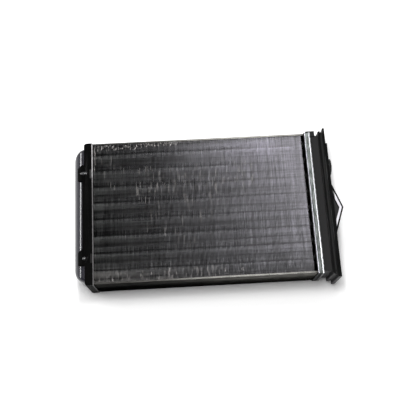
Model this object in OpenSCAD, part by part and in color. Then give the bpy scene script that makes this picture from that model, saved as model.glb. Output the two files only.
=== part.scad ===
// Heater core: an aluminium fin and tube pack between a return tank and a connection tank
// It lies on its side: X runs along the tubes, Y across them and Z through the thickness

/* [Core] */
// Length between the inner faces of the two headers
core_l = 234; // [180:1:300]
// Width over the two side plates
core_w = 157; // [135:1:200]
// Thickness of the fins, from one open face to the other
core_t = 42; // [38:1:56]
// Distance from one fin to the next, before it is evened out over the length of the pack
fin_pitch = 2.4; // [2:0.1:6]
// Thickness of one fin
fin_t = 0.3; // [0.2:0.05:0.6]
// Bare tube between the return header and the first fin
return_gap = 0.6; // [0.4:0.1:3]
// Bare tube between the last fin and the connection header
connection_gap = 3.5; // [1:0.1:8]
// Sheet thickness of a side plate
side_t = 1; // [0.6:0.1:1.6]
// Width of the lip that a side plate turns over the fins
side_lip = 1; // [0.6:0.1:4]
// Sheet thickness of that lip
side_lip_t = 0.6; // [0.4:0.1:0.8]
// Width of the stiffening groove along a side plate
side_groove_w = 12; // [6:1:20]
// Depth of that groove
side_groove_d = 0.4; // [0.2:0.1:0.5]

/* [Tubes] */
// Outer diameter of a tube
tube_od = 8; // [6:0.1:8.6]
// Wall of a tube
tube_wall = 0.4; // [0.3:0.05:0.6]
// Distance across the core from one tube to the next, in turn in the upper and the lower row
tube_spacing = 9.2; // [8.6:0.1:12]
// Distance from a face of the fins to the middle of the nearest row
row_edge = 10.5; // [9:0.5:14]
// Wall of the collar that each fin draws around a tube
collar_t = 0.5; // [0.3:0.1:0.8]
// Length of tube that stands out of the gasket inside a tank
tube_stand = 2.6; // [2.2:0.1:4]
// How far the flared end of a tube widens all round
flare_rise = 0.25; // [0.1:0.05:0.4]
// Length of the flared end
flare_l = 1.6; // [1:0.1:2]

/* [Turbulators] */
// Width of the wavy strip in each tube
strip_w = 3; // [2:0.1:4]
// Thickness of the strip
strip_t = 0.5; // [0.3:0.1:0.8]
// Length of one wave of the strip
strip_wave = 10; // [6:1:20]
// How far a strip ends inside its tube
strip_inset = 2; // [1:0.5:6]

/* [Headers] */
// How far the headers stand past the side plates
header_over = 0.8; // [0.4:0.1:1.5]
// How far the headers stand past each face of the fins
header_rise = 1; // [0.8:0.1:2]
// Thickness of a header plate
header_t = 1.5; // [1:0.1:2]
// Thickness of the flange that shows beside the return clip frame
flange_t = 1; // [0.6:0.1:1.4]
// Wall of the crimped tray on the connection side
crimp_wall = 1.2; // [0.8:0.1:1.4]
// Wall of the tray on the return side
tray_wall = 1; // [0.8:0.1:1.2]
// Thickness of the crimped lip
crimp_lip = 0.8; // [0.6:0.1:1.2]
// Distance between the notches of the crimp
crimp_pitch = 6; // [5:0.5:10]
// Radius of one notch of the crimp
crimp_notch_r = 1.1; // [0.8:0.1:1.6]
// Width of each tongue of the return header
tongue_w = 10; // [6:0.5:14]
// Length of each tongue
tongue_l = 3.3; // [2:0.1:4]
// Thickness of each tongue
tongue_t = 0.7; // [0.5:0.1:0.8]
// Thickness of the gasket sheets
gasket_t = 2; // [1.5:0.1:3]
// Wall of the gasket collars around the tubes
gasket_collar = 0.9; // [0.6:0.1:1.2]

/* [Return tank] */
// How far the return tank stands out from the inner face of its header
return_depth = 21.2; // [17:0.1:30]
// Wall of both tanks
tank_wall = 1.8; // [1.4:0.1:2.2]
// Thickness of the foot of a tank
foot_t = 3.2; // [2.5:0.1:4]
// Width of the step around the foot of the return tank
return_step = 1.3; // [1:0.1:1.6]
// Radius of the long shoulders
shoulder_r = 9; // [7:0.5:12]
// Radius of the corners seen from above
corner_r = 15; // [12:0.5:18]

/* [Clip frame] */
// Wall of the frame around the header
frame_wall = 1.2; // [0.8:0.1:1.4]
// How far the frame reaches from the inner face of the header
frame_reach = 9.4; // [8.5:0.1:10.5]
// Radius of the frame's corners seen from above
frame_corner_r = 3; // [1:0.5:4]
// How much further the frame reaches between its tabs
frame_extra = 2.1; // [0.5:0.1:3]
// Reach of the tabs over the shoulder of the tank
tab_reach = 16.4; // [14:0.1:17]
// Thickness of a tab
tab_t = 2.6; // [1.5:0.1:3]
// Width of a tab at its tip
tab_w = 14.1; // [8:0.1:20]
// How much wider a tab is at its root
tab_flare = 3.5; // [0:0.1:6]
// Straight front edge of the back tab, from the middle of the core
tab_back_y = 36.5; // [25:0.5:42]
// Straight front edge of the front tab
tab_front_y = -57.4; // [-60:0.5:-45]
// Radius of the ball that shows as a pip on each upper tab
pip_r = 2.2; // [1.8:0.1:3]
// Height of a pip
pip_h = 0.6; // [0.3:0.1:1]

/* [Connection tank] */
// Width of the step around the foot of the connection tank
connection_step = 1.4; // [1.2:0.1:2.2]
// Start of the inner rail, from the inner face of the header
rail_at = 16; // [14:0.5:20]
// Thickness of the inner rail
rail_t = 2.5; // [1.5:0.1:4]
// Width of the groove between the rail and the end plate
groove_w = 2.7; // [1.5:0.1:4]
// Depth of the groove, on the upper and lower sides
groove_d = 3.4; // [2:0.1:4]
// Thickness of the end plate
plate_t = 3.7; // [3:0.1:5]
// How far the rail stands past the header at its ends
rail_over = 1.2; // [0:0.1:3]
// How far the end plate stands past the header at its ends
plate_over = 4.7; // [3:0.1:8]
// Length of the thinner stretch at the back end of the plate
plate_end_l = 18; // [10:0.5:24]
// How much thinner the plate is there
plate_end_step = 1.5; // [0.5:0.1:2]
// Thickness of the wall between the two chambers
partition_t = 1.5; // [1:0.1:2]
// Width of the hook at the back end
hook_w = 4.6; // [3:0.1:5]
// Height of the hook
hook_h = 14; // [6:0.5:20]
// Thickness of the strip of the hook
hook_t = 2; // [1:0.1:2.2]
// How far the strip of the hook reaches back over the crimp
hook_reach = 5.2; // [2:0.1:6]
// Gap between the hook and the header
hook_gap = 0.3; // [0.2:0.1:1]

/* [Ports] */
// Bore of a port
port_bore_d = 15; // [12:0.5:16]
// Outer diameter of the spigot around a port
port_od = 19; // [18:0.5:22]
// How far a spigot stands out of the end plate
port_stand = 5.1; // [3:0.1:8]
// How far a spigot reaches inside the tank
port_inside = 4; // [2:0.5:6]
// Chamfer at the mouth of a port
port_chamfer = 0.8; // [0.3:0.1:1]
// Place of the back port across the core
port_back_y = 45; // [35:1:50]
// Place of the front port across the core
port_front_y = -10; // [-25:0.5:-9]
// Reach of the pointed guard over the front port
guard_reach = 10; // [8:0.5:14]
// Place of its point across the core
guard_tip_y = -8.5; // [-12:0.5:-5]
// Length of the guard from its point to its back foot
guard_back_l = 26.5; // [20:0.5:32]
// Length of the guard from its point to its front foot
guard_front_l = 28; // [20:0.5:32]
// Height of the rim of the guard
guard_h = 5; // [4:0.5:8]
// Thickness of the floor inside the rim
guard_floor = 1.2; // [0.8:0.1:2]
// Width of the flat top of the rim
guard_rim = 1.7; // [1:0.1:3]
// Width of the slope inside the rim
guard_slope = 2.4; // [1:0.1:3]
// How far that slope falls before the drop to the floor
guard_fall = 1.3; // [0.4:0.1:1.8]

/* [Fits] */
// Clearance all round a tube in the fin collars and gaskets
tube_fit = 0.02; // [0.01:0.01:0.05]
// Clearance all round a strip in its tube
strip_fit = 0.25; // [0.15:0.05:0.5]
// Clearance between the moulded pieces and the trays
moulding_fit = 0.1; // [0.05:0.05:0.2]
// Clearance between the fins and a side plate
side_fit = 0.1; // [0.05:0.05:0.3]
// Clearance between the flare of the last tube and the wall of the tank
flare_fit = 0.2; // [0.1:0.05:0.5]

/* [Hidden] */
header_h = core_t + 2 * header_rise;
header_w = core_w + 2 * header_over;
mid_z = header_h / 2;
fin_w = core_w - 2 * (side_t + side_fit);
foot_at = header_t + gasket_t;

// Outlines of the connection end, from the crimped tray inwards
crimp_in_w = header_w - 2 * crimp_wall;
crimp_in_h = header_h - 2 * crimp_wall;
connection_foot_w = crimp_in_w - 2 * moulding_fit;
connection_foot_h = crimp_in_h - 2 * moulding_fit;
connection_w = connection_foot_w - 2 * connection_step;
connection_h = connection_foot_h - 2 * connection_step;
crimp_at = foot_at + foot_t;
crimp_end = crimp_at + crimp_lip;

// Outlines of the return end, from the clip frame inwards
tray_w = header_w - 2 * (frame_wall + moulding_fit);
tray_h = header_h - 2 * (frame_wall + moulding_fit);
return_foot_w = tray_w - 2 * (tray_wall + moulding_fit);
return_foot_h = tray_h - 2 * (tray_wall + moulding_fit);
return_w = return_foot_w - 2 * return_step;
return_h = return_foot_h - 2 * return_step;
shoulder_at = return_depth - shoulder_r;

// Tubes, counted from the front, stay clear of the wall of the return tank
tube_r = tube_od / 2;
flare_r = tube_r + flare_rise;
tube_margin = (core_w - return_w) / 2 + tank_wall + flare_fit + flare_r;
tube_count = 1 + floor((core_w - 2 * tube_margin) / tube_spacing);
tube_end = core_l / 2 + foot_at + tube_stand;
row_z = core_t / 2 - row_edge;
split_tube = floor(tube_count / 2);
strip_rise = sqrt(pow(tube_r - tube_wall - strip_fit, 2) - pow(strip_w / 2, 2)) - strip_t / 2;

// Connection tank, outwards from the inner face of its header
groove_at = rail_at + rail_t;
plate_at = groove_at + groove_w;
plate_out = plate_at + plate_t;
rail_w = header_w + 2 * rail_over;
plate_w = header_w + 2 * plate_over;
port_out = plate_out + port_stand;
guard_out = plate_out + guard_reach;

left_end = core_l / 2 + return_depth;
right_end = core_l / 2 + max(guard_out, port_out);
fine = 64;
over = 1;

function tube_y(i) = (i - (tube_count + 1) / 2) * tube_spacing;
function row_side(i) = i % 2 == 0 ? 1 : -1;
function tube_name(i) = str("tube_", i < 10 ? "0" : "", i);
function turbulator_name(i) = str("turbulator_", i < 10 ? "0" : "", i);

// Puts a piece, drawn about the middle of the core, in the frame of the whole part
module place() {
    translate([(left_end - right_end) / 2, 0, 0])
        children();
}

// Each end is drawn outwards from the inner face of its header
module connection_end() {
    place()
        translate([core_l / 2, 0, 0])
            children();
}

module return_end() {
    place()
        mirror([1, 0, 0])
            translate([core_l / 2, 0, 0])
                children();
}

// Draws a flat shape of Y and Z and makes it solid from one X to another
module along_x(from, to) {
    translate([from, 0, 0])
        rotate([90, 0, 90])
            linear_extrude(height = to - from)
                children();
}

// Draws a flat shape of X and Z and makes it solid from one Y to another
module along_y(from, to) {
    translate([0, to, 0])
        rotate([90, 0, 0])
            linear_extrude(height = to - from)
                children();
}

module slab(from, to, w, h) {
    along_x(from, to)
        translate([-w / 2, mid_z - h / 2])
            square([w, h]);
}

module tube_discs(r) {
    for (i = [1 : tube_count])
        translate([tube_y(i), mid_z + row_side(i) * row_z])
            circle(r = r, $fn = fine);
}

// A rectangle with its two far corners rounded
module rounded_end(from, to, w, r) {
    intersection() {
        translate([from, -w / 2])
            square([to - from, w]);
        union() {
            translate([from, -w / 2])
                square([to - r - from, w]);
            translate([from, r - w / 2])
                square([to - from, w - 2 * r]);
            for (side = [-1, 1])
                translate([to - r, side * (w / 2 - r)])
                    circle(r = r, $fn = fine);
        }
    }
}

module fin_pack() {
    first_fin = return_gap - core_l / 2;
    pack_end = core_l / 2 - connection_gap;
    gap_count = round((pack_end - first_fin - fin_t) / fin_pitch);
    pitch = (pack_end - first_fin - fin_t) / gap_count;
    color("silver")
        place()
            difference() {
                along_x(first_fin, pack_end)
                    difference() {
                        translate([-fin_w / 2, mid_z - core_t / 2])
                            square([fin_w, core_t]);
                        tube_discs(tube_r + tube_fit);
                    }
                for (k = [1 : gap_count])
                    fin_space(first_fin + k * pitch + fin_t - pitch, first_fin + k * pitch);
            }
}

// The air space between two fins, crossed by the collars
module fin_space(from, to) {
    along_x(from, to)
        difference() {
            translate([-fin_w / 2 - over, mid_z - core_t / 2 - over])
                square([fin_w + 2 * over, core_t + 2 * over]);
            tube_discs(tube_r + tube_fit + collar_t);
        }
}

module tube(i) {
    color("lightgray")
        place()
            translate([0, tube_y(i), mid_z + row_side(i) * row_z])
                rotate([0, 90, 0])
                    rotate_extrude($fn = fine)
                        tube_profile();
}

// Half section of a tube: a straight wall that flares at both ends
module tube_profile() {
    bend = tube_end - flare_l;
    bore_r = tube_r - tube_wall;
    polygon([
        [bore_r, -bend], [bore_r, bend], [bore_r + flare_rise, tube_end], [flare_r, tube_end],
        [tube_r, bend], [tube_r, -bend], [flare_r, -tube_end], [bore_r + flare_rise, -tube_end]
    ]);
}

// A strip folded into even waves, which stirs the coolant in its tube
module turbulator(i) {
    half = tube_end - strip_inset;
    folds = 2 * floor(half / strip_wave);
    step = half / folds;
    rise = [for (k = [-folds : folds]) [k * step, (k % 2 == 0 ? 1 : -1) * (strip_rise - strip_t / 2)]];
    under = [for (k = [folds : -1 : -folds]) rise[k + folds] - [0, strip_t]];
    color("dimgray")
        place()
            translate([0, tube_y(i), mid_z + row_side(i) * row_z + strip_t / 2])
                along_y(-strip_w / 2, strip_w / 2)
                    polygon(concat(rise, under));
}

// A channel that closes the fins at one long side, drawn at the back
module side_plate() {
    outer = core_w / 2;
    half = core_l / 2;
    color("lightgray")
        difference() {
            translate([-half, outer - side_t - side_lip, mid_z - core_t / 2 - side_lip_t])
                cube([core_l, side_t + side_lip, core_t + 2 * side_lip_t]);
            translate([-half - over, outer - side_t - side_lip - over, mid_z - core_t / 2])
                cube([core_l + 2 * over, side_lip + over, core_t]);
            translate([-half - over, outer - side_groove_d, mid_z - side_groove_w / 2])
                cube([core_l + 2 * over, side_groove_d + over, side_groove_w]);
        }
}

module back_side_plate() {
    place()
        side_plate();
}

module front_side_plate() {
    place()
        mirror([0, 1, 0])
            side_plate();
}

// Rubber sheet with a collar that goes through the header plate around each tube
module gasket(w, h) {
    color("black")
        difference() {
            union() {
                slab(header_t, foot_at, w, h);
                along_x(0, header_t + gasket_t / 2)
                    tube_discs(tube_r + gasket_collar);
            }
            along_x(-over, foot_at + over)
                tube_discs(tube_r + tube_fit);
        }
}

module return_gasket() {
    return_end()
        gasket(return_foot_w, return_foot_h);
}

module connection_gasket() {
    connection_end()
        gasket(connection_foot_w, connection_foot_h);
}

module return_header() {
    color("lightgray")
        return_end()
            difference() {
                union() {
                    slab(0, flange_t, header_w, header_h);
                    slab(0, crimp_at, tray_w, tray_h);
                    tongues(tongue_w, tongue_l, tongue_t);
                }
                slab(header_t, crimp_at + over, tray_w - 2 * tray_wall, tray_h - 2 * tray_wall);
                header_holes();
            }
}

module header_holes() {
    along_x(-over, header_t + over)
        tube_discs(tube_r + gasket_collar);
}

// Metal tongues that lie in the clip frame under its tabs
module tongues(w, l, t) {
    for (tab_y = [tab_back_y, tab_front_y])
        translate([0, tab_y + (tab_w - w) / 2, header_h - t])
            cube([l, w, t]);
}

module connection_header() {
    color("silver")
        connection_end()
            difference() {
                slab(0, crimp_end, header_w, header_h);
                slab(header_t, crimp_at, crimp_in_w, crimp_in_h);
                slab(crimp_at - over, crimp_end + over,
                    connection_w + 2 * moulding_fit, connection_h + 2 * moulding_fit);
                crimp_notches();
                header_holes();
            }
}

// Rows of notches that leave the crimped lip as separate fingers
module crimp_notches() {
    across = floor((connection_w / 2 - crimp_notch_r) / crimp_pitch);
    upright = floor((connection_h / 2 - crimp_notch_r) / crimp_pitch);
    for (k = [-across : across])
        translate([crimp_end, k * crimp_pitch, -over])
            cylinder(r = crimp_notch_r, h = header_h + 2 * over, $fn = fine);
    for (k = [-upright : upright])
        translate([crimp_end, header_w / 2 + over, mid_z + k * crimp_pitch])
            rotate([90, 0, 0])
                cylinder(r = crimp_notch_r, h = header_w + 2 * over, $fn = fine);
}

// Where a long profile and a plan outline meet, as in a moulded tank
module moulded_end(from, to, w, h, side_r, plan_r) {
    intersection() {
        along_y(-w / 2, w / 2)
            translate([0, mid_z])
                rounded_end(from, to, h, side_r);
        linear_extrude(height = header_h)
            rounded_end(from, to, w, plan_r);
    }
}

module return_tank() {
    color([0.1, 0.1, 0.11])
        return_end()
            difference() {
                union() {
                    slab(foot_at, crimp_at, return_foot_w, return_foot_h);
                    moulded_end(foot_at, return_depth, return_w, return_h, shoulder_r, corner_r);
                }
                moulded_end(foot_at - over, return_depth - tank_wall,
                    return_w - 2 * tank_wall, return_h - 2 * tank_wall,
                    shoulder_r - tank_wall, corner_r - tank_wall);
            }
}

// The black frame that holds the return tank in its header
module clip_frame() {
    color([0.13, 0.13, 0.14])
        return_end()
            difference() {
                union() {
                    intersection() {
                        slab(flange_t, frame_reach, header_w, header_h);
                        linear_extrude(height = header_h)
                            rounded_end(0, frame_reach, header_w, frame_corner_r);
                    }
                    for (side = [0, 1])
                        translate([0, 0, side * header_h])
                            mirror([0, 0, side])
                                clip_side();
                    for (tab_y = [tab_back_y, tab_front_y])
                        translate([frame_reach - pip_r / 2, tab_y + tab_w / 2, header_h - pip_r + pip_h])
                            sphere(r = pip_r, $fn = fine);
                }
                slab(-over, crimp_at + moulding_fit, tray_w + 2 * moulding_fit, tray_h + 2 * moulding_fit);
                moulded_end(-over, return_depth + moulding_fit,
                    return_w + 2 * moulding_fit, return_h + 2 * moulding_fit,
                    shoulder_r + moulding_fit, corner_r + moulding_fit);
                translate([-over, 0, 0])
                    tongues(
                        tongue_w + 2 * moulding_fit, tongue_l + moulding_fit + over, tongue_t + moulding_fit
                    );
            }
}

// Tabs and the wider stretch between them, on the lower side
module clip_side() {
    root = shoulder_at + moulding_fit;
    translate([frame_reach - over, tab_front_y + tab_w, 0])
        cube([frame_extra + over, tab_back_y - tab_front_y - tab_w, mid_z - return_h / 2]);
    for (tab_y = [tab_back_y, tab_front_y])
        intersection() {
            along_y(tab_y, tab_y + tab_w + tab_flare)
                tab_profile(root);
            linear_extrude(height = mid_z)
                polygon([
                    [0, tab_y], [tab_reach, tab_y], [tab_reach, tab_y + tab_w],
                    [root, tab_y + tab_w + tab_flare], [0, tab_y + tab_w + tab_flare]
                ]);
        }
}

// Side view of a tab: straight to the shoulder, then round it
module tab_profile(root) {
    translate([frame_reach - over, 0])
        square([root - frame_reach + over, mid_z - return_h / 2]);
    intersection() {
        translate([shoulder_at, mid_z - return_h / 2 + shoulder_r])
            circle(r = shoulder_r + tab_t, $fn = fine);
        translate([frame_reach, 0])
            square([tab_reach - frame_reach, mid_z]);
    }
}

module connection_tank() {
    cavity_w = connection_w - 2 * tank_wall;
    cavity_h = connection_h - 2 * tank_wall;
    cavity_end = plate_out - plate_end_step - tank_wall;
    color([0.2, 0.2, 0.21])
        connection_end()
            difference() {
                union() {
                    difference() {
                        union() {
                            slab(foot_at, crimp_at, connection_foot_w, connection_foot_h);
                            slab(foot_at, plate_at + over, connection_w, connection_h);
                            slab(rail_at, groove_at, rail_w, header_h);
                            slab(rail_at, plate_at + over, rail_w, header_h - 2 * groove_d);
                            end_plate();
                        }
                        slab(foot_at - over, cavity_end, cavity_w, cavity_h);
                    }
                    partition(cavity_end + over / 2, cavity_h);
                    port_guard();
                    hook();
                    for (port_y = [port_back_y, port_front_y])
                        port(port_y, cavity_end - port_inside, port_out, port_od / 2);
                }
                for (port_y = [port_back_y, port_front_y]) {
                    port(port_y, foot_at + over, port_out + over, port_bore_d / 2);
                    port_mouth(port_y);
                }
            }
}

// Plate that closes the slot of the heater case, thinner on its outer face at the back end
module end_plate() {
    slab(plate_at, plate_out - plate_end_step, plate_w, header_h);
    translate([0, -plate_end_l / 2, 0])
        slab(plate_at, plate_out, plate_w - plate_end_l, header_h);
}

// Slanted wall between the chambers, which runs between the tubes of both rows
module partition(to, h) {
    mid_y = (tube_y(split_tube) + tube_y(split_tube + 1)) / 2;
    lean = row_side(split_tube) * tube_spacing * h / (4 * row_z);
    width = partition_t * sqrt(1 + pow(2 * lean / h, 2));
    along_x(foot_at, to)
        polygon([
            [mid_y - lean - width / 2, mid_z - h / 2 - over / 2],
            [mid_y - lean + width / 2, mid_z - h / 2 - over / 2],
            [mid_y + lean + width / 2, mid_z + h / 2 + over / 2],
            [mid_y + lean - width / 2, mid_z + h / 2 + over / 2]
        ]);
}

module port(y, from, to, r) {
    translate([from, y, mid_z])
        rotate([0, 90, 0])
            cylinder(r = r, h = to - from, $fn = fine);
}

module port_mouth(y) {
    bore_r = port_bore_d / 2;
    translate([port_out - port_chamfer, y, mid_z])
        rotate([0, 90, 0])
            cylinder(r1 = bore_r, r2 = bore_r + 2 * port_chamfer, h = 2 * port_chamfer, $fn = fine);
}

// Pointed guard over the front port: a rim with a sloped inner side and a lower floor
module port_guard() {
    difference() {
        translate([0, 0, header_h - guard_h])
            linear_extrude(height = guard_h)
                guard_outline();
        intersection() {
            translate([plate_out, 0, header_h - guard_h])
                linear_extrude(height = guard_h + over)
                    translate([0, -plate_w / 2])
                        square([guard_reach, plate_w]);
            guard_side(guard_back_l, 1);
            guard_side(guard_front_l, -1);
        }
    }
}

module guard_outline() {
    polygon([
        [plate_out - over, guard_tip_y - guard_front_l], [plate_out, guard_tip_y - guard_front_l],
        [guard_out, guard_tip_y], [plate_out, guard_tip_y + guard_back_l],
        [plate_out - over, guard_tip_y + guard_back_l]
    ]);
}

// The space inside one limb of the guard: a gentle slope from the rim, then a drop to the floor
module guard_side(l, side) {
    turn = atan2(side * l, -guard_reach);
    depth = guard_h - guard_floor;
    brink = guard_rim + guard_slope;
    translate([guard_out, guard_tip_y, header_h])
        rotate([0, 0, turn])
            rotate([90, 0, 90])
                translate([0, 0, -2 * guard_reach])
                    linear_extrude(height = 4 * guard_reach + 2 * l)
                        polygon([
                            [side * guard_rim, over], [side * guard_rim, 0], [side * brink, -guard_fall],
                            [side * brink, -depth], [side * 2 * l, -depth], [side * 2 * l, over]
                        ]);
}

// Hook at the back end that reaches over the crimped header
module hook() {
    inner = header_w / 2 + hook_gap;
    base = crimp_end + moulding_fit;
    top = header_h - crimp_wall;
    translate([base, connection_w / 2 - over, top - hook_h])
        cube([hook_w, inner + hook_t - connection_w / 2 + over, hook_h]);
    translate([base - hook_reach, inner, top - hook_h])
        cube([hook_reach + hook_w, hook_t, hook_h]);
}

fin_pack();
front_side_plate();
back_side_plate();
return_header();
return_gasket();
return_tank();
clip_frame();
connection_header();
connection_gasket();
connection_tank();
for (i = [1 : tube_count])
    tube(i);
for (i = [1 : tube_count])
    turbulator(i);
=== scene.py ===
import math
import random

import bmesh
import bpy
from mathutils import Matrix, Vector, noise


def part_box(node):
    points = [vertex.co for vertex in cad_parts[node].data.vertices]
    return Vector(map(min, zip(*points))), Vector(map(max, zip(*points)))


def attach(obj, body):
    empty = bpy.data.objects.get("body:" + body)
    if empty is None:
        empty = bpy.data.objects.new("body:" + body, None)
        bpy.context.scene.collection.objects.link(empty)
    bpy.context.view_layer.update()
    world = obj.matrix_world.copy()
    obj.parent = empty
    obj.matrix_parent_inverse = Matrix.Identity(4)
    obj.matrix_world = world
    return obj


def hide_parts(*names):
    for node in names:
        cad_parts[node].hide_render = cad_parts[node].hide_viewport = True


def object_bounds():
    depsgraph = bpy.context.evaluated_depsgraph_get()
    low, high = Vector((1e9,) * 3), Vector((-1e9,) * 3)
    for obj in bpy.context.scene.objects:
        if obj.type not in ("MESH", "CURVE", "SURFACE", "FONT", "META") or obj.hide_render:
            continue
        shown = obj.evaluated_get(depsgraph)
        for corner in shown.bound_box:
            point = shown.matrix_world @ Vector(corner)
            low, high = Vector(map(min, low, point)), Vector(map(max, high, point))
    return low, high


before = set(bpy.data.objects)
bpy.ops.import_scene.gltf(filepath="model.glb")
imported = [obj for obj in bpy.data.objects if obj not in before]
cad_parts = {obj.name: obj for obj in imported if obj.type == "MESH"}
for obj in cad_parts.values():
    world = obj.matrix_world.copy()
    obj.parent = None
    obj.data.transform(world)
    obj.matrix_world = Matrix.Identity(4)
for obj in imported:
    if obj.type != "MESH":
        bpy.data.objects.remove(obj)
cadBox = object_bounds()
print("frame loaded:", len(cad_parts), "nodes")

mm = 0.001
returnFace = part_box("return_header")[1].x         # inner faces of the two headers
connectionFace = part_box("connection_header")[0].x
shift = (returnFace + connectionFace) / 2         # where the middle of the core lies along X
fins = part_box("fin_pack")
midZ = (fins[0].z + fins[1].z) / 2
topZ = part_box("connection_header")[1].z / mm      # the upper face and the guard's tip, in millimetres
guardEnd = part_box("connection_tank")[1].x / mm
tubeNodes = sorted(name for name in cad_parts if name.startswith("tube_"))
stripNodes = sorted(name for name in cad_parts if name.startswith("turbulator_"))


# shader writing: a number socket that takes plain sums

class Amount:
    def __init__(self, finish, socket):
        self.finish = finish
        self.socket = socket

    def sum(self, operation, first, second=0.0):
        return self.finish.add("ShaderNodeMath", {"operation": operation}, [first, second], "Value")

    def size(self):                               # the value without its sign
        return self.sum("ABSOLUTE", self)

    def __add__(self, other):
        return self.sum("ADD", self, other)

    def __radd__(self, other):
        return self.sum("ADD", other, self)

    def __sub__(self, other):
        return self.sum("SUBTRACT", self, other)

    def __rsub__(self, other):
        return self.sum("SUBTRACT", other, self)

    def __mul__(self, other):
        return self.sum("MULTIPLY", self, other)

    def __rmul__(self, other):
        return self.sum("MULTIPLY", other, self)

    def __truediv__(self, other):
        return self.sum("DIVIDE", self, other)

    def __pow__(self, other):
        return self.sum("POWER", self, other)

    def atLeast(self, low):
        return self.sum("MAXIMUM", self, low)

    def atMost(self, high):
        return self.sum("MINIMUM", self, high)

    def step(self, low, high):                    # 0 below low, 1 above high, smooth between
        settings = {"interpolation_type": "SMOOTHSTEP"}
        return self.finish.add("ShaderNodeMapRange", settings, [self, low, high, 0.0, 1.0], "Result")

    def within(self, low, high, soft):            # 1 between low and high, with soft ends
        return self.step(low - soft, low) * (1.0 - self.step(high, high + soft))

    def repeat(self, length, start):              # how far along each repeat of a length, from 0 to 1
        return self.sum("FRACT", (self - start) / length)


class Finish:
    def __init__(self, name, shader="Principled BSDF", holder=None):
        self.material = holder or bpy.data.materials.new(name)
        self.material.use_nodes = True
        self.tree = self.material.node_tree
        self.shader = self.tree.nodes[shader]

    def add(self, kind, settings, values, output):
        node = self.tree.nodes.new(kind)
        for key, value in settings.items():
            setattr(node, key, value)
        pairs = values.items() if isinstance(values, dict) else enumerate(values)
        for key, value in pairs:
            self.plug(node.inputs[key], value)
        return Amount(self, node.outputs[output])

    def plug(self, socket, value):
        if isinstance(value, Amount):
            self.tree.links.new(value.socket, socket)
        else:
            socket.default_value = value

    def place(self):                              # X, Y and Z of the object in millimetres
        spot = self.add("ShaderNodeTexCoord", {}, {}, "Object")
        scaled = self.add("ShaderNodeVectorMath", {"operation": "SCALE"}, {0: spot, "Scale": 1000.0}, "Vector")
        self.whole = scaled
        self.sides = [self.add("ShaderNodeSeparateXYZ", {}, [scaled], axis) for axis in "XYZ"]
        return self.sides

    def speckle(self, scale, detail=3.0, roughness=0.5):      # the same noise along each axis
        values = {"Vector": self.whole, "Scale": scale, "Detail": detail, "Roughness": roughness}
        return self.add("ShaderNodeTexNoise", {}, values, "Fac")

    def grain(self, stretch, detail=3.0, roughness=0.5, start=0.0):     # noise with a scale for each axis
        x, y, z = [side * scale for side, scale in zip(self.sides, stretch)]
        spot = self.add("ShaderNodeCombineXYZ", {}, [x, y, z + start], "Vector")
        values = {"Vector": spot, "Scale": 1.0, "Detail": detail, "Roughness": roughness}
        return self.add("ShaderNodeTexNoise", {}, values, "Fac")

    def blend(self, amount, first, second):
        mixer = self.tree.nodes.new("ShaderNodeMix")
        mixer.data_type = "RGBA"
        mixer.clamp_factor = True
        self.plug(mixer.inputs[0], amount)
        self.plug(mixer.inputs[6], first)
        self.plug(mixer.inputs[7], second)
        return Amount(self, mixer.outputs[2])

    def bump(self, height, distance, strength=1.0):
        values = {"Strength": strength, "Distance": distance, "Height": height}
        self.set("Normal", self.add("ShaderNodeBump", {}, values, "Normal"))

    def set(self, name, value):
        self.plug(self.shader.inputs[name], value)
        return self


def grey(level, tint=(1.0, 1.0, 1.0)):
    return (level * tint[0], level * tint[1], level * tint[2], 1.0)


# fins: painted light, dark on the left and pale on the right as if lit from the left, with row lines and bands of
# painted shade and light, pale lines, and a ragged right edge of painted shade
# places and lengths are in millimetres; a zone's side is its start, end and softness

finLook = {
    # the near colours are painted dark and the far colours painted pale: painted light from the left
    "dark": grey(0.008, (0.97, 1.0, 0.98)), "light": grey(0.45, (0.98, 1.0, 0.99)),
    "farDark": grey(0.42, (1.0, 0.985, 1.04)), "farLight": grey(0.95, (1.0, 0.975, 1.06)),
    "warm": grey(0.5, (1.0, 0.96, 0.93)), "warmFrom": (-78.0, -52.0),
    "metal": 0.4, "shine": 0.1, "edgeShine": 0.35, "roughness": 0.5, "bump": 0.6 * mm,
    "start": -123.0, "length": 230.0, "slant": 0.0035, "middle": 0.42,
    # rows: painted shade lines along the tube rows, with painted light and shade in the bands between them
    "rows": {"pitch": 18.4, "start": 9.7, "wander": 1.6, "strength": 1.6, "farLess": 1.35,
             "line": (0.0, 0.085, 0.015), "halfLine": (0.48, 0.535, 0.015),       # shares of the pitch
             "pale": (0.78, 0.93, 0.06), "dim": (0.12, 0.66, 0.1)},
    # zones where fins are bent: their streaks paint light and shade
    "bentFinZones": [{"x": (-72.0, 2.0, 12.0), "y": (12.0, 42.0, 8.0)}, {"x": (-60.0, 90.0, 20.0), "y": (-76.0, -60.0, 5.0)}],
    "marks": [{"x": (-45.0, 20.0, 4.0), "y": (44.8, 45.4, 0.4), "strength": 1.6},
              {"x": (-60.0, 90.0, 9.0), "y": (63.5, 64.0, 0.4), "strength": 0.64},
              {"x": (-122.0, -72.0, 25.0), "y": (-63.2, -62.7, 0.4), "strength": 1.12}],
    "brokenMark": {"x": (-44.6, -43.5, 0.1), "y": (-76.0, 2.0, 5.0), "strength": 0.8},
    # painted light: paler fins near the front, less so to the right, and in a patch near the back
    "frontPaintedLight": {"y": (-78.0, -46.0), "strength": 0.45, "less": 0.75},
    "backPaintedLight": {"y": (30.0, 76.0), "along": (0.5, 0.75, 0.25), "strength": 0.42},
    # painted shade: a ragged dark strip at the right edge of the fins
    "gapShade": {"colour": grey(0.04), "edge": (106.6, 109.6), "slant": 0.012, "ragged": 5.0},
}


def zonePatch(x, y, zone):                        # 1 inside a zone, 0 outside
    return x.within(*zone["x"]) * y.within(*zone["y"])


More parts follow.
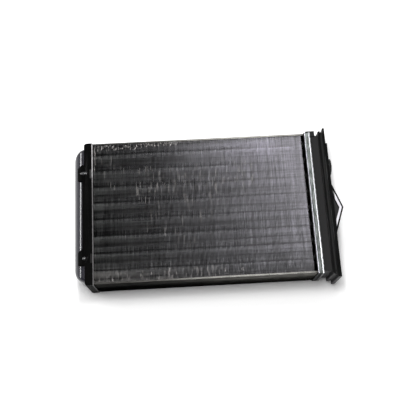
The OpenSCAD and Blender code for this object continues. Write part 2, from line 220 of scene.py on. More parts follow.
def finRows(finish, x, y, along, far):            # the row lines, where they are broken, and the bands between them: painted shade along the tube rows and painted light between them
    rows = finLook["rows"]
    wander = finish.grain((0.02, 0.1, 0.0), 1.0) * rows["wander"] - rows["wander"] / 2
    row = (y + wander).repeat(rows["pitch"], rows["start"])
    broken = finish.grain((0.03, 0.05, 0.0), 2.0, start=4.0).step(0.22, 0.42).atLeast(0.9 - along * 1.6)
    line = (row.within(*rows["line"]) + row.within(*rows["halfLine"]) * 0.7) * broken
    band = row.within(*rows["pale"]) * 0.22 - row.within(*rows["dim"]) * 0.1
    return band * (1.0 - far * 0.8) - line * (rows["strength"] - far * rows["farLess"]), broken


def finMetal():
    finish = Finish("finMetal")
    x, y, z = finish.place()
    along = ((x - finLook["start"]) / finLook["length"]).atLeast(0.0).atMost(1.0)
    far = along + along * y * finLook["slant"]
    cloud = finish.speckle(0.03)
    fine = finish.grain((1.2, 0.016, 0.02), 2.0)
    streak = finish.grain((1.1, 0.07, 0.05), 1.0)
    lines = finish.grain((0.005, 0.5, 0.02), 5.0, 0.75)
    scratch = 1.0 - (finish.grain((0.02, 0.4, 0.02), 4.0, 0.6) - 0.5).size().step(0.0, 0.03)
    # painted shade and light of the tube rows
    paintedRowShade, broken = finRows(finish, x, y, along, far)
    # streaks paint the light and shade of uneven fins, stronger in the zones of bent fins
    bentFinZones = zonePatch(x, y, finLook["bentFinZones"][0]) + zonePatch(x, y, finLook["bentFinZones"][1])
    tone = finLook["middle"] + (fine - 0.5) * (far * 0.5 + 1.0) + (streak - 0.5) * (bentFinZones * 1.6 + 0.2)
    tone = tone + (lines - 0.5) * (1.9 - far) + (cloud - 0.5) * 0.4 + paintedRowShade - scratch * (far * 0.25 + 0.1)
    for mark in finLook["marks"]:
        tone = tone + zonePatch(x, y, mark) * mark["strength"]
    tone = tone + zonePatch(x, y, finLook["brokenMark"]) * broken * finLook["brokenMark"]["strength"]
    # painted light near the front and back of the fins
    front, back = finLook["frontPaintedLight"], finLook["backPaintedLight"]
    tone = tone + (1.0 - y.step(*front["y"])) * (front["strength"] - along * front["less"])
    tone = tone + y.step(*back["y"]) * along.within(*back["along"]) * back["strength"]
    tone = tone.atLeast(0.0).atMost(1.0)
    # painted light: the colour goes from the dark near colours to the pale far ones along the core
    near = finish.blend(tone, finLook["dark"], finLook["light"])
    near = finish.blend((1.0 - y.step(*finLook["warmFrom"])) * (1.0 - along) * tone, near, finLook["warm"])
    paintedLitColour = finish.blend(tone, finLook["farDark"], finLook["farLight"])
    metal = finish.blend(far.atMost(1.0), near, paintedLitColour)
    # painted shade: a ragged dark strip at the right edge of the fins
    gapShade = finLook["gapShade"]
    ragged = finish.grain((0.2, 0.35, 0.0), 3.0, start=7.0) * gapShade["ragged"] - gapShade["ragged"] / 2
    inGapShade = (x + y * gapShade["slant"] + ragged).step(*gapShade["edge"])
    finish.set("Base Color", finish.blend(inGapShade, metal, gapShade["colour"]))
    finish.set("Metallic", finLook["metal"])
    finish.set("Specular IOR Level", finLook["shine"])
    finish.set("Specular Tint", grey(finLook["edgeShine"]))
    finish.set("Roughness", finLook["roughness"] + streak * 0.15)
    finish.bump(lines, finLook["bump"], 0.5)
    return finish.material


# sheet metal: rolled and blotched; each darkening entry darkens it up to a place along an axis and says how much
# stays: along Z it is painted shade below the upper face, on the side plates it also makes them darker towards the
# left, and on the flange along X and Y it only darkens it there

metals = {
    "tips": {"dark": grey(0.3, (1.0, 0.95, 0.92)), "light": grey(0.9, (1.0, 0.96, 0.94)), "roughness": 0.4,
             "blotch": 0.8},
    # collars and tubes are painted near black: painted shade for the shadow they lie in under the fins
    "collars": {"dark": grey(0.008), "light": grey(0.03), "roughness": 0.5, "blotch": 0.4,
                "stretch": (6.0, 0.05, 0.05)},
    "tubes": {"dark": grey(0.008), "light": grey(0.03), "roughness": 0.5, "blotch": 0.4},
    "flange": {"dark": grey(0.03, (1.0, 0.95, 0.92)), "light": grey(0.6, (1.0, 0.97, 0.98)), "roughness": 0.4,
               "blotch": 0.5, "stretch": (0.8, 0.3, 0.8),
               "darkening": [("X", returnFace / mm - 1.3, returnFace / mm - 1.0, 0.12), ("Y", 25.0, 58.0, 0.3),
                        ("Z", topZ - 2.5, topZ - 0.5, 0.3)]},
    "sidePlates": {"dark": grey(0.06, (1.0, 0.98, 0.9)), "light": grey(0.36, (1.0, 0.98, 0.92)), "roughness": 0.3,
                   "blotch": 0.12, "stretch": (0.06, 0.05, 0.8), "edgeShine": 0.25,
                   "darkening": [("X", -90.0, 90.0, 0.15), ("Z", topZ - 34.0, topZ - 8.0, 0.1)]},
    "lip": {"dark": grey(0.55, (0.96, 0.95, 1.08)), "light": grey(0.92, (0.96, 0.95, 1.05)), "roughness": 0.2,
            "blotch": 0.8, "darkening": [("Z", topZ - 1.5, topZ - 0.2, 0.2)]},
    "trim": {"dark": grey(0.3, (0.95, 1.0, 1.02)), "light": grey(0.92, (0.98, 0.99, 1.02)), "roughness": 0.2,
             "blotch": 0.7, "darkening": [("Z", topZ - 1.5, topZ - 0.2, 0.2)]},
}


def sheetMetal(name, look):
    finish = Finish(name + "Metal")
    sides = dict(zip("XYZ", finish.place()))
    rolled = finish.grain(look.get("stretch", (0.3, 0.05, 1.5)), 4.0)
    blotch = finish.speckle(look["blotch"], 5.0, 0.65)
    tone = (rolled * 0.5 + blotch * 1.1 - 0.3).atLeast(0.0).atMost(1.0)
    metal = finish.blend(tone, look["dark"], look["light"])
    # painted shade along Z, and darker regions along X and Y, as listed for each metal
    for axis, start, end, left in look.get("darkening", []):
        metal = finish.blend(sides[axis].step(start, end) * (1.0 - left) + left, grey(0.003), metal)
    finish.set("Base Color", metal)
    finish.set("Metallic", 1.0)
    finish.set("Specular Tint", grey(look.get("edgeShine", 1.0)))
    finish.set("Roughness", look["roughness"] + blotch * 0.25)
    finish.bump(blotch, 0.2 * mm, 0.4)
    return finish.material


# connection header: a mottled band between the lip and the crimp, with painted shade beside both and lower down, and
# darker towards the front

headerLook = {"dark": grey(0.03, (0.92, 1.0, 0.98)), "light": grey(0.34, (0.93, 1.0, 0.98)), "shadeColour": grey(0.05),
              "start": (0.6, 0.9), "end": (6.5, 6.9), "front": (-48.0, -20.0), "depth": (8.0, 0.5), "edgeShine": 0.3}


def headerMetal():
    finish = Finish("headerMetal")
    x, y, z = finish.place()
    across = x - connectionFace / mm
    blotch = finish.grain((0.5, 0.11, 0.5), 4.0, 0.6)
    brushed = finish.grain((1.4, 0.25, 1.4))
    tone = (blotch.step(0.36, 0.66) * 0.5 + brushed * 0.8 - 0.12) * (y.step(*headerLook["front"]) * 0.4 + 0.6)
    metal = finish.blend(tone.atLeast(0.0).atMost(1.0), headerLook["dark"], headerLook["light"])
    # painted shade beside the lip, past the crimp and lower down
    band = across.step(*headerLook["start"]) * (1.0 - across.step(*headerLook["end"]))
    low, high = [topZ - depth for depth in headerLook["depth"]]
    band = band * (z.step(low, high) * 0.85 + 0.15)
    finish.set("Base Color", finish.blend(band, headerLook["shadeColour"], metal))
    finish.set("Metallic", 1.0)
    finish.set("Specular Tint", grey(headerLook["edgeShine"]))
    finish.set("Roughness", blotch * 0.25 + 0.2)
    finish.bump(blotch, 0.3 * mm, 0.5)
    return finish.material


# moulded plastic; "sides" is how much rougher it is below the upper face

mouldings = {
    # the blue tint of glossBlack's base colour paints the lavender tone of its reflections
    "glossBlack": {"dark": grey(0.008, (1.0, 1.0, 1.8)), "light": grey(0.012, (1.0, 1.0, 1.8)), "roughness": 0.15,
                   "skin": 2.0, "depth": 0.006 * mm, "shine": 1.0},
    "pips": {"dark": grey(0.004, (1.0, 1.0, 1.35)), "light": grey(0.008, (1.0, 1.0, 1.3)), "roughness": 0.28,
             "skin": 2.0, "depth": 0.004 * mm, "shine": 1.0},
    "mattBlack": {"dark": grey(0.0015), "light": grey(0.003), "roughness": 0.15, "skin": 3.0, "depth": 0.008 * mm,
                  "shine": 0.05, "sides": 0.5},
    "darkMoulding": {"dark": grey(0.0025, (1.0, 0.98, 1.06)), "light": grey(0.005), "roughness": 0.12, "skin": 3.0,
                     "depth": 0.008 * mm, "shine": 0.26, "sides": 0.35, "body": True},
    "strips": {"dark": grey(0.03), "light": grey(0.05), "roughness": 0.5, "skin": 2.0, "depth": 0.05 * mm,
               "shine": 0.5},
}
bodyLook = {"end": shift / mm + 133.0, "rougher": 0.08, "paler": 2.4}       # the body up to the first rail, rougher and painted paler than the rails: painted light
# painted highlight: the pale colours of the guard's inner slope
guardLook = {"tipY": -8.5, "reach": 10.0, "backRun": 26.5, "frontRun": 28.0, "slope": (1.85, 3.9, 0.15), "deep": 1.35,
             "start": (-8.6, -7.4), "frontLonger": 1.2,
             "dark": grey(0.6, (1.0, 0.98, 1.04)), "light": grey(0.9, (1.0, 0.98, 1.04))}


def guardSlope(x, y, z):                          # 1 on the inner slope of the guard's rim, where a pale highlight is painted
    reach, tipY = guardLook["reach"], guardLook["tipY"]
    back, front = [((guardEnd - x) * run - (y - tipY).size() * reach) / math.hypot(run, reach)
                   for run in (guardLook["backRun"], guardLook["frontRun"])]
    behind = y.step(tipY - 0.1, tipY + 0.1)
    inside = (back * behind + front * (1.0 - behind)).within(*guardLook["slope"])
    started = (x - guardEnd + (1.0 - behind) * guardLook["frontLonger"]).step(*guardLook["start"])
    deep = topZ - guardLook["deep"]
    return inside * started * z.step(deep - 0.05, deep + 0.05)


def moulded(name, look):
    finish = Finish(name)
    x, y, z = finish.place()
    dark, light, roughness = look["dark"], look["light"], look["roughness"]
    # painted light: the body is painted paler than the rails
    if look.get("body"):
        body = 1.0 - x.step(bodyLook["end"] - 0.5, bodyLook["end"] + 0.5)
        roughness = body * bodyLook["rougher"] + roughness
        dark, light = [finish.blend(body, tone, [value * bodyLook["paler"] for value in tone[:3]] + [1.0])
                       for tone in (dark, light)]
        # painted highlight on the guard's inner slope
        paintedHighlight = guardSlope(x, y, z)
        dark = finish.blend(paintedHighlight, dark, guardLook["dark"])
        light = finish.blend(paintedHighlight, light, guardLook["light"])
    if look.get("sides"):
        roughness = (1.0 - z.step(topZ - 0.8, topZ - 0.3)) * look["sides"] + roughness
    cloud = finish.speckle(0.06)
    finish.set("Base Color", finish.blend(cloud, dark, light))
    finish.set("Roughness", roughness + cloud * 0.08)
    finish.set("Specular IOR Level", look["shine"])
    finish.bump(finish.speckle(look["skin"], 2.0), look["depth"])
    return finish.material


rubberLook = {"dark": grey(0.012), "light": grey(0.03), "roughness": 0.55, "depth": 0.05 * mm}


def rubber():
    finish = Finish("gasketRubber")
    finish.place()
    cloud = finish.speckle(0.2)
    finish.set("Base Color", finish.blend(cloud, rubberLook["dark"], rubberLook["light"]))
    finish.set("Roughness", rubberLook["roughness"] + cloud * 0.2)
    finish.bump(finish.speckle(4.0), rubberLook["depth"])
    return finish.material


looks = {"fins": finMetal(), "headers": headerMetal(), "gaskets": rubber()}
looks.update({name: sheetMetal(name, look) for name, look in metals.items()})
looks.update({name: moulded(name, look) for name, look in mouldings.items()})
print("finishes made:", len(looks))


def newPiece(name, mesh, look, nodes, smooth=True):
    bmesh.ops.remove_doubles(mesh, verts=mesh.verts, dist=1e-7)
    data = bpy.data.meshes.new(name)
    mesh.to_mesh(data)
    mesh.free()
    data.materials.append(looks[look])
    piece = bpy.data.objects.new(name, data)
    bpy.context.scene.collection.objects.link(piece)
    if smooth:
        data.shade_smooth()
        data.set_sharp_from_angle(angle=math.radians(35))
    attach(piece, "root")
    if nodes:
        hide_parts(*nodes)
    return piece


def nodeCopy(name):                               # the CAD form of a node, merged and free of flat cuts
    mesh = bmesh.new()
    mesh.from_mesh(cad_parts[name].data)
    bmesh.ops.remove_doubles(mesh, verts=mesh.verts, dist=1e-6)
    bmesh.ops.dissolve_limit(mesh, angle_limit=math.radians(0.5), verts=mesh.verts, edges=mesh.edges)
    return mesh


def softenEdges(piece, width, segments=2, angle=35):
    bevel = piece.modifiers.new("softEdges", "BEVEL")
    bevel.width = width
    bevel.segments = segments
    bevel.limit_method = "ANGLE"
    bevel.angle_limit = math.radians(angle)
    bevel.harden_normals = False


def addWall(piece, thickness):                    # gives an open skin its thickness, inwards
    wall = piece.modifiers.new("wall", "SOLIDIFY")
    wall.thickness = thickness
    wall.offset = -1


def cubeBetween(mesh, low, high):
    made = bmesh.ops.create_cube(mesh, size=1.0)["verts"]
    bmesh.ops.scale(mesh, vec=[b - a for a, b in zip(low, high)], verts=made)
    bmesh.ops.translate(mesh, vec=[(a + b) / 2 for a, b in zip(low, high)], verts=made)
    return made


def cutAlong(mesh, axis, cuts):                   # cuts every edge that runs along one axis
    along = [edge for edge in mesh.edges if abs((edge.verts[0].co - edge.verts[1].co).normalized()[axis]) > 0.9]
    bmesh.ops.subdivide_edges(mesh, edges=along, cuts=cuts, use_grid_fill=True)


# fins: thin plates, a little uneven, with a bend line below each open face

finPlan = {"pitch": 1.33 * mm, "thickness": 0.12 * mm, "columns": 9, "tip": 1.8 * mm, "wander": 0.06 * mm,
           "crimp": -1.25 * mm, "lean": 0.3 * mm, "bend": 0.62 * mm, "ripple": 0.35, "seed": 11}


def tipBend(x, y):                                # the tips lie over more towards the far right of the core
    along = min(1.0, max(0.0, (x - fins[0].x) / (fins[1].x - fins[0].x)))
    across = y / fins[1].y
    return finPlan["bend"] * (along ** 1.3) * (0.85 + 0.25 * across)


def finStack():
    low, high = fins
    chance = random.Random(finPlan["seed"])
    stack = bmesh.new()
    cubeBetween(stack, (-finPlan["thickness"] / 2, low.y, low.z), (finPlan["thickness"] / 2, high.y, high.z))
    cutAlong(stack, 1, finPlan["columns"])
    cutAlong(stack, 2, 3)
    levels = [low.z, low.z + finPlan["tip"], midZ, high.z - finPlan["tip"], high.z]
    for vert in stack.verts:
        vert.co.z = levels[round((vert.co.z - low.z) / (high.z - low.z) * 4)]
    pattern = stack.verts[:] + stack.edges[:] + stack.faces[:]          # one fin, copied along the core
    count = round((high.x - low.x - finPlan["thickness"]) / finPlan["pitch"])
    pitch = (high.x - low.x - finPlan["thickness"]) / count
    for index in range(count + 1):
        x = low.x + finPlan["thickness"] / 2 + index * pitch
        inner = 0 if index in (0, count) else 1
        slip = chance.uniform(-1, 1) * finPlan["wander"]
        for vert in bmesh.ops.duplicate(stack, geom=pattern)["geom"]:
            if isinstance(vert, bmesh.types.BMVert):
                level = levels.index(min(levels, key=lambda place: abs(place - vert.co.z)))
                ripple = noise.noise(Vector((index * 0.35, vert.co.y * 90, 5.0 * level)))
                single = noise.noise(Vector((index * 7.7, vert.co.y * 45, 3.0 * level)))
                crimp = finPlan["crimp"] if level == 2 else 0
                lean = finPlan["lean"] * (1.0 if level in (0, 4) else 0.2)
                bend = tipBend(x, vert.co.y) if level == 4 else 0
                vert.co.x += x + (slip + crimp + bend + (ripple * finPlan["ripple"] + single) * lean) * inner
    first = [item for item in pattern if isinstance(item, bmesh.types.BMVert)]
    bmesh.ops.delete(stack, geom=first, context="VERTS")
    newPiece("finStack", stack, "fins", ["fin_pack"], smooth=False)
    print("fins:", count + 1)


# collars: the drawn necks of the fins, which sheathe each tube between them

collarPlan = {"radius": 4.5 * mm, "wall": 0.45 * mm, "sides": 20}


def finCollars():
    mesh = bmesh.new()
    for name in tubeNodes:
        low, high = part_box(name)
        turn = Matrix.Translation(((fins[0].x + fins[1].x) / 2, (low.y + high.y) / 2, (low.z + high.z) / 2))
        bmesh.ops.create_cone(mesh, cap_ends=False, segments=collarPlan["sides"], radius1=collarPlan["radius"],
                              radius2=collarPlan["radius"], depth=fins[1].x - fins[0].x,
                              matrix=turn @ Matrix.Rotation(math.pi / 2, 4, "Y"))
    bmesh.ops.recalc_face_normals(mesh, faces=mesh.faces)
    addWall(newPiece("finCollars", mesh, "collars", []), collarPlan["wall"])
    print("collars:", len(tubeNodes))


# bent fin tips: zones in millimetres from the middle of the core, with how many and how long they are

tipPlan = {
    "wide": 0.25, "thick": 0.12 * mm, "narrowed": 0.7, "leftwards": 0.7, "seed": 5,
    "zones": [
        {"x": (-112, -62), "y": (70, 76), "count": 62, "length": (1, 3.5), "tilt": (50, 75), "wide": 0.4},
        {"x": (-62, -20), "y": (73, 77), "count": 55, "length": (0.8, 2.5), "tilt": (50, 80), "wide": 0.5},
        {"x": (-112, 110), "y": (73, 77), "count": 80, "length": (1, 3), "tilt": (30, 70)},
        {"x": (-115.5, -114), "y": (48, 77), "count": 30, "length": (2, 5), "tilt": (40, 70), "wide": 0.4},
        {"x": (-112, -70), "y": (20, 70), "count": 16, "length": (4, 9), "tilt": (30, 60)},
        {"x": (-70, 17), "y": (10, 48), "count": 80, "length": (4, 10), "tilt": (40, 70)},
        {"x": (17, 60), "y": (20, 60), "count": 26, "length": (4, 9), "tilt": (30, 60)},
        {"x": (-60, 10), "y": (-45, 10), "count": 26, "length": (6, 16), "tilt": (30, 60)},
        {"x": (-112, 40), "y": (-77, -66), "count": 90, "length": (2, 6), "tilt": (30, 65), "wide": 0.42},
        {"x": (-114, 108), "y": (-77.6, -76.6), "count": 60, "length": (0.8, 1.6), "tilt": (50, 80), "wide": 0.5},
    ],
}


def bentTips():
    chance = random.Random(tipPlan["seed"])
    mesh = bmesh.new()
    for zone in tipPlan["zones"]:
        for index in range(zone["count"]):
            x = shift + chance.uniform(*zone["x"]) * mm
            y = chance.uniform(*zone["y"]) * mm
            x = fins[0].x + round((x - fins[0].x) / finPlan["pitch"]) * finPlan["pitch"]
            half = chance.uniform(*zone["length"]) / 2 * mm
            tilt = math.radians(chance.uniform(*zone["tilt"]))
            side = -1 if chance.random() < tipPlan["leftwards"] else 1
            wide = zone.get("wide", tipPlan["wide"]) * mm * chance.uniform(0.6, 1.1)
            made = cubeBetween(mesh, (-tipPlan["thick"] / 2, -half, 0), (tipPlan["thick"] / 2, half, wide))
            for vert in made:
                if vert.co.z > wide / 2:
                    vert.co.y *= tipPlan["narrowed"]
            lean = Matrix.Rotation(side * tilt, 3, "Y")
            bmesh.ops.rotate(mesh, cent=(0, 0, 0), matrix=lean, verts=made)
            top = fins[1].z - wide * math.cos(tilt)
            bmesh.ops.translate(mesh, vec=(x, min(y, fins[1].y - half), top), verts=made)
    newPiece("bentFinTips", mesh, "tips", [], smooth=False)


# side plates: a channel of thin sheet with a shallow groove along its back

platePlan = {"sheet": 0.7 * mm, "grooveWidth": 12 * mm, "grooveDepth": 0.5 * mm, "slope": 1.2 * mm,
             "dent": 0.12 * mm, "cuts": 60, "edge": 0.25 * mm}


def sidePlate(name, node, side):
    low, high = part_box(node)
    out = high.y if side > 0 else -low.y
    lip = high.y - low.y
    half = (high.z - low.z) / 2
    groove = platePlan["grooveWidth"] / 2
    spots = [(out - lip, -half), (out, -half), (out, -groove - platePlan["slope"]),
             (out - platePlan["grooveDepth"], -groove), (out - platePlan["grooveDepth"], groove),
             (out, groove + platePlan["slope"]), (out, half), (out - lip, half)]
    mesh = bmesh.new()
    verts = [mesh.verts.new((low.x, side * y, midZ + z)) for y, z in spots]
    edges = [mesh.edges.new(pair) for pair in zip(verts, verts[1:])]
    mesh.verts.ensure_lookup_table()
    pulled = bmesh.ops.extrude_edge_only(mesh, edges=edges)["geom"]
    ends = [item for item in pulled if isinstance(item, bmesh.types.BMVert)]
    bmesh.ops.translate(mesh, vec=(high.x - low.x, 0, 0), verts=ends)
    cutAlong(mesh, 0, platePlan["cuts"])
    for vert in mesh.verts:
        inward = noise.noise(Vector((vert.co.x * 40, side * 3.0, vert.co.z * 30)))
        vert.co.y -= side * max(0.0, inward) * platePlan["dent"]
    bmesh.ops.recalc_face_normals(mesh, faces=mesh.faces)
    outside = max(mesh.faces, key=lambda face: side * face.calc_center_median().y)
    if outside.normal.y * side < 0:
        bmesh.ops.reverse_faces(mesh, faces=mesh.faces)
    piece = newPiece(name, mesh, "sidePlates", [node])
    addWall(piece, platePlan["sheet"])
    softenEdges(piece, platePlan["edge"])


# return tank: a shallow black moulding, drawn outwards from its foot

tankPlan = {"step": 1.3 * mm, "foot": 3.2 * mm, "corner": 15 * mm, "shoulder": 9 * mm, "wall": 1.8 * mm,
            "edge": 4.5 * mm, "edgeSegments": 6, "rings": 14, "flatter": 0.96, "near": 0.02 * mm}


def roundedStart(mesh, x, halfY, halfZ, radius, segments):
    upright = Matrix.Rotation(-math.pi / 2, 4, "Y")
    bmesh.ops.create_grid(mesh, x_segments=1, y_segments=1, size=1.0, matrix=upright)
    bmesh.ops.scale(mesh, vec=(1, halfY, halfZ), verts=mesh.verts)
    bmesh.ops.translate(mesh, vec=(x, 0, midZ), verts=mesh.verts)
    bmesh.ops.bevel(mesh, geom=list(mesh.verts), offset=radius, offset_type="OFFSET", segments=segments,
                    profile=0.5, affect="VERTICES", material=-1)
    return mesh.faces[:][0]


def pullFace(mesh, face, x, halfY, halfZ):        # carries one face on to X, with a new width and height
    made = bmesh.ops.extrude_face_region(mesh, geom=[face])["geom"]
    verts = [item for item in made if isinstance(item, bmesh.types.BMVert)]
    cap = [item for item in made if isinstance(item, bmesh.types.BMFace)][0]
    wide = max(vert.co.y for vert in verts)
    tall = max(vert.co.z for vert in verts) - midZ
    for vert in verts:
        vert.co = (x, vert.co.y * halfY / wide, midZ + (vert.co.z - midZ) * halfZ / tall)
    bmesh.ops.delete(mesh, geom=[face], context="FACES_ONLY")
    return cap


def returnTank():
    low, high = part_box("return_tank")
    depth, foot, corner, near = high.x - low.x, tankPlan["foot"], tankPlan["corner"], tankPlan["near"]
    halfY, halfZ = high.y, (high.z - low.z) / 2
    bodyY, bodyZ = halfY - tankPlan["step"], halfZ - tankPlan["step"]
    mesh = bmesh.new()
    face = roundedStart(mesh, high.x, halfY, halfZ, tankPlan["edge"], tankPlan["edgeSegments"])
    face = pullFace(mesh, face, high.x - foot, halfY, halfZ)
    face = pullFace(mesh, face, high.x - foot - near, bodyY, bodyZ)
    start = depth - corner
    face = pullFace(mesh, face, high.x - max(start, foot + near * 5), bodyY, bodyZ)
    for ring in range(1, tankPlan["rings"] + 1):
        turn = math.pi / 2 * ring / tankPlan["rings"]
        out = start + corner * math.sin(turn)
        if out > depth - near:
            out = depth
        plan = bodyY - corner * (1 - math.cos(turn)) * tankPlan["flatter"]
        rise = max(0.0, out - (depth - tankPlan["shoulder"])) / tankPlan["shoulder"]
        side = bodyZ - tankPlan["shoulder"] * (1 - math.sqrt(max(0.0, 1 - rise * rise)))
        face = pullFace(mesh, face, high.x - out, plan, side)
    bmesh.ops.recalc_face_normals(mesh, faces=mesh.faces)
    if face.normal.x > 0:
        bmesh.ops.reverse_faces(mesh, faces=mesh.faces)
    addWall(newPiece("returnTank", mesh, "glossBlack", ["return_tank"]), tankPlan["wall"])


# moulded and pressed pieces that keep the form of their solid, with worn edges

copyPlan = {"clipFrame": ("clip_frame", "mattBlack", 0.35 * mm),
            "connectionTank": ("connection_tank", "darkMoulding", 0.4 * mm)}


def softCopy(name):
    node, look, edge = copyPlan[name]
    softenEdges(newPiece(name, nodeCopy(node), look, [node]), edge)


# header trim: a rolled lip beside the fins and the crimped edge over the foot of the connection tank

trimPlan = {"headerLip": {"start": 0.95 * mm, "width": 0.5 * mm, "look": "lip", "wave": 0},
            "crimpedEdge": {"start": 5.4 * mm, "width": 1.4 * mm, "look": "trim", "wave": 0.38 * mm},
            "proud": 0.25 * mm, "thick": 0.3 * mm, "reach": 2 * mm, "cuts": 120, "pitch": 6.0 * mm,
            "uneven": 0.1 * mm, "dip": 0.12 * mm, "edge": 0.12 * mm}


def headerTrim(name):
    low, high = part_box("connection_header")
    plan, proud = trimPlan[name], trimPlan["proud"]
    start, end = connectionFace + plan["start"], connectionFace + plan["start"] + plan["width"]
    mesh = bmesh.new()
    cubeBetween(mesh, (start, low.y - proud, low.z + trimPlan["reach"]), (end, high.y + proud, high.z + proud))
    gone = [face for face in mesh.faces if abs(face.normal.x) > 0.9 or face.normal.z < -0.9]
    bmesh.ops.delete(mesh, geom=gone, context="FACES")
    cutAlong(mesh, 1, trimPlan["cuts"])
    for vert in mesh.verts:
        roll = math.cos((vert.co.y / trimPlan["pitch"]) * math.tau)
        ragged = noise.noise(Vector((vert.co.y * 260, 2.0, start * 900)))
        outer = vert.co.x > (start + end) / 2
        if plan["wave"]:
            vert.co.x += (roll * 0.5 + ragged) * plan["wave"] * (1.0 if outer else 0.5)
            vert.co.z -= max(0.0, ragged) * trimPlan["dip"]
        else:
            vert.co.x += ragged * trimPlan["uneven"]
    piece = newPiece(name, mesh, plan["look"], [])
    addWall(piece, trimPlan["thick"])
    softenEdges(piece, trimPlan["edge"], 3)


# pips on the tabs of the clip frame: the back one is long, the front one round

pipPlan = {"backTabPip": {"y": 44.5, "halfX": 3.2, "halfY": 1.5},           # millimetres
           "frontTabPip": {"y": -50.3, "halfX": 1.9, "halfY": 1.6},
           "x": 9.6, "height": 0.6, "raise": 0.08, "foot": 0.25}


def tabPip(name):
    plan, foot = pipPlan[name], pipPlan["foot"]
    mesh = bmesh.new()
    bmesh.ops.create_uvsphere(mesh, u_segments=24, v_segments=12, radius=1.0)
    for vert in mesh.verts:                       # the lower half becomes a flared foot
        reach, sunk = vert.co.xy.length, min(1.0, max(0.0, -vert.co.z * 2))
        if vert.co.z < -0.01:
            wider = (1.0 + foot * sunk) / reach if reach > 0.01 else 0.0
            vert.co = (vert.co.x * wider, vert.co.y * wider, -sunk * foot)
    bmesh.ops.scale(mesh, vec=(plan["halfX"] * mm, plan["halfY"] * mm, pipPlan["height"] * mm), verts=mesh.verts)
    spot = (returnFace - pipPlan["x"] * mm, plan["y"] * mm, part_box("return_header")[1].z + pipPlan["raise"] * mm)
    bmesh.ops.translate(mesh, vec=spot, verts=mesh.verts)
    newPiece(name, mesh, "pips", [])


nodeLooks = {"return_header": "flange", "connection_header": "headers", "return_gasket": "gaskets",
             "connection_gasket": "gaskets"}
nodeLooks.update({name: "tubes" for name in tubeNodes})
nodeLooks.update({name: "strips" for name in stripNodes})
for name, look in nodeLooks.items():
    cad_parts[name].data.materials.clear()
    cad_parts[name].data.materials.append(looks[look])

finStack()
finCollars()
bentTips()
sidePlate("frontSidePlate", "front_side_plate", -1)
sidePlate("backSidePlate", "back_side_plate", 1)
returnTank()
softCopy("clipFrame")
softCopy("connectionTank")
headerTrim("headerLip")
headerTrim("crimpedEdge")
tabPip("backTabPip")
tabPip("frontTabPip")


# camera, floor and light

camera = {"lens": 59.01, "sensor": 36, "azimuth": -0.09293, "elevation": 1.27798, "roll": -0.03736,
          "distance": 754.06 * mm, "target": (6.67 * mm, 4.29 * mm, 23.0 * mm)}


def addCamera():
    azimuth, elevation, roll = camera["azimuth"], camera["elevation"], camera["roll"]
    level = math.cos(elevation)
    back = Vector((math.sin(azimuth) * level, -math.cos(azimuth) * level, math.sin(elevation)))
    right = Vector((math.cos(azimuth), math.sin(azimuth), 0))
    up = back.cross(right)
    across = right * math.cos(roll) - up * math.sin(roll)
    upright = right * math.sin(roll) + up * math.cos(roll)
    turn = Matrix((across, upright, back)).transposed().to_4x4()
    target = Vector(camera["target"]) + Vector((shift, 0, 0))
    data = bpy.data.cameras.new("photoCamera")
    data.lens = camera["lens"]
    data.sensor_width = camera["sensor"]
    data.clip_start = 0.01
    holder = bpy.data.objects.new("photoCamera", data)
    holder.matrix_world = Matrix.Translation(target + back * camera["distance"]) @ turn
    bpy.context.scene.collection.objects.link(holder)
    bpy.context.scene.camera = holder


lamps = {"keySoftbox": {"size": (0.9, 0.13), "power": 4.8, "place": (-0.72, 0.3, 0.85)},
         "backSoftbox": {"size": (0.3, 0.2), "power": 3.2, "place": (0.0, 0.55, 0.93)},
         "topSoftbox": {"size": (0.3, 0.3), "power": 4.6, "place": (0.0, 0.04, 1.08)}}


def addLamp(name):                                # a softbox that looks at the middle of the part
    plan = lamps[name]
    data = bpy.data.lights.new(name, "AREA")
    data.shape = "RECTANGLE"
    data.size, data.size_y = plan["size"]
    data.energy = plan["power"]
    lamp = bpy.data.objects.new(name, data)
    lamp.location = plan["place"]
    lamp.rotation_euler = (-Vector(plan["place"])).to_track_quat("-Z", "Y").to_euler()
    bpy.context.scene.collection.objects.link(lamp)


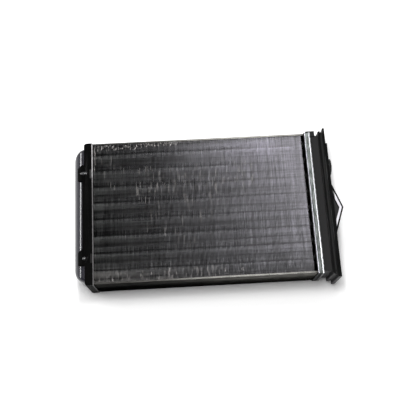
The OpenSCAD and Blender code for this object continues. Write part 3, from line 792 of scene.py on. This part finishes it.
floorLook = {"size": 4.0, "colour": grey(0.97), "roughness": 0.9, "glow": 0.3, "fade": 15.0, "besideFaster": 2.5}


def addFloor():                                   # paper that glows white for the camera away from the part and keeps its shadow; the glow fades out near the part, faster beside it, which paints shade round it
    mesh = bmesh.new()
    bmesh.ops.create_grid(mesh, x_segments=1, y_segments=1, size=floorLook["size"])
    data = bpy.data.meshes.new("floor")
    mesh.to_mesh(data)
    mesh.free()
    floor = bpy.data.objects.new("floor", data)
    bpy.context.scene.collection.objects.link(floor)
    finish = Finish("floorPaper")
    x, y, z = finish.place()
    middle, half = (cadBox[0] + cadBox[1]) / 2 / mm, (cadBox[1] - cadBox[0]) / 2 / mm
    beside, before = [((side - at).size() - reach).atLeast(0.0) for side, at, reach in zip((x, y), middle, half)]
    away = ((beside * floorLook["besideFaster"]) ** 2.0 + before ** 2.0) ** 0.5
    seen = finish.add("ShaderNodeLightPath", {}, {}, "Is Camera Ray")
    mirrored = finish.add("ShaderNodeLightPath", {}, {}, "Is Glossy Ray")
    finish.set("Base Color", floorLook["colour"])
    finish.set("Roughness", floorLook["roughness"])
    # painted shade: the glow fades to nothing near the part
    finish.set("Emission Color", finish.blend(away.step(0.0, floorLook["fade"]), grey(0.0), grey(1.0)))
    finish.set("Emission Strength", (seen + mirrored) * floorLook["glow"])
    data.materials.append(finish.material)


roomLook = {"walls": 0.85, "ceiling": 0.12, "fade": (0.2, 0.7)}


def addWorld():                                   # pale walls round the table and a dim ceiling
    world = bpy.data.worlds.new("paleRoom")
    bpy.context.scene.world = world
    finish = Finish("paleRoom", "Background", world)
    direction = finish.add("ShaderNodeTexCoord", {}, {}, "Generated")
    height = finish.add("ShaderNodeSeparateXYZ", {}, [direction], "Z")
    finish.set("Color", (1.0, 1.0, 1.0, 1.0))
    finish.set("Strength", (1.0 - height.step(*roomLook["fade"])) * roomLook["walls"] + roomLook["ceiling"])


addCamera()
addFloor()
addWorld()
for name in lamps:
    addLamp(name)
bpy.context.scene.view_settings.view_transform = "Standard"
print("stage set")
